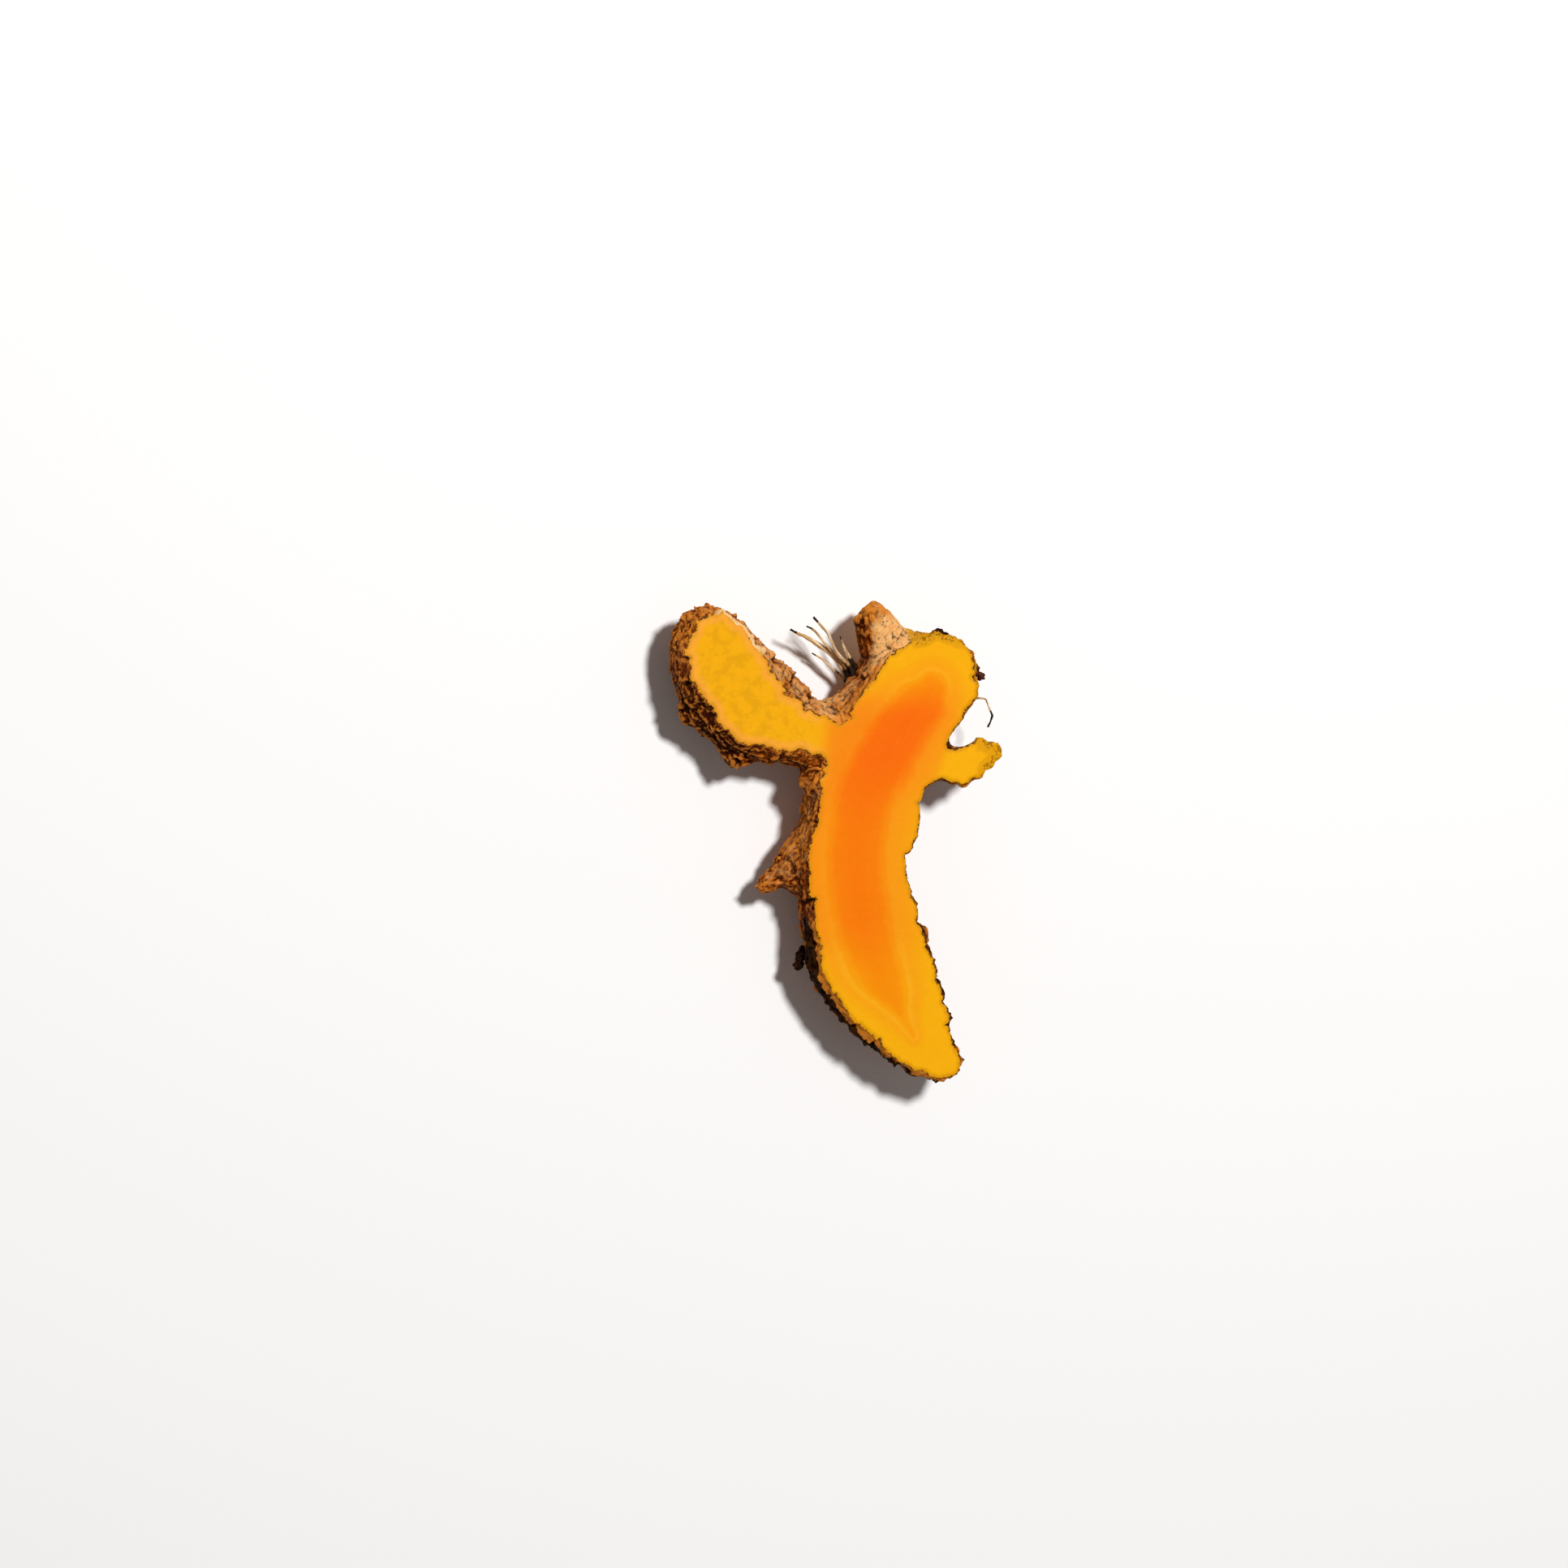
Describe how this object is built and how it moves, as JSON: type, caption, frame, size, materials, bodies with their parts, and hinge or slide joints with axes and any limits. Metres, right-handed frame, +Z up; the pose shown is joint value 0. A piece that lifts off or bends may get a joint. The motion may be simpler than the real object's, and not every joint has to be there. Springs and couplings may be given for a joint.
{
  "type": "halved turmeric root",
  "caption": "Fresh turmeric rhizome sliced in half lengthwise, lying on its rounded skin with the flat orange cut face up, with a side finger, a spur and dry rootlets.",
  "frame": {"origin": "on the resting plane, under the middle of the part's box", "axes": "+Z up, out of the flat cut face; +Y along the body from its tapered tail to its blunt top end; +X towards the sliced shoot, away from the side finger"},
  "size_m": [0.054, 0.0782, 0.0142],
  "materials": {
    "rhizome": "moist orange flesh under a thin brown corky skin",
    "rootlet": "dry straw-coloured root",
    "dry_scale": "dry dark brown"
  },
  "bodies": {
    "root": {"rhizome_half": "rhizome", "rootlet_long": "rootlet", "rootlet_upper": "rootlet", "rootlet_middle": "rootlet", "rootlet_dark": "rootlet", "rootlet_low": "rootlet", "rootlet_hair": "rootlet", "root_stub": "dry_scale", "scale_leaf_top": "dry_scale", "scale_leaf_side": "dry_scale"}
  },
  "joints": []
}
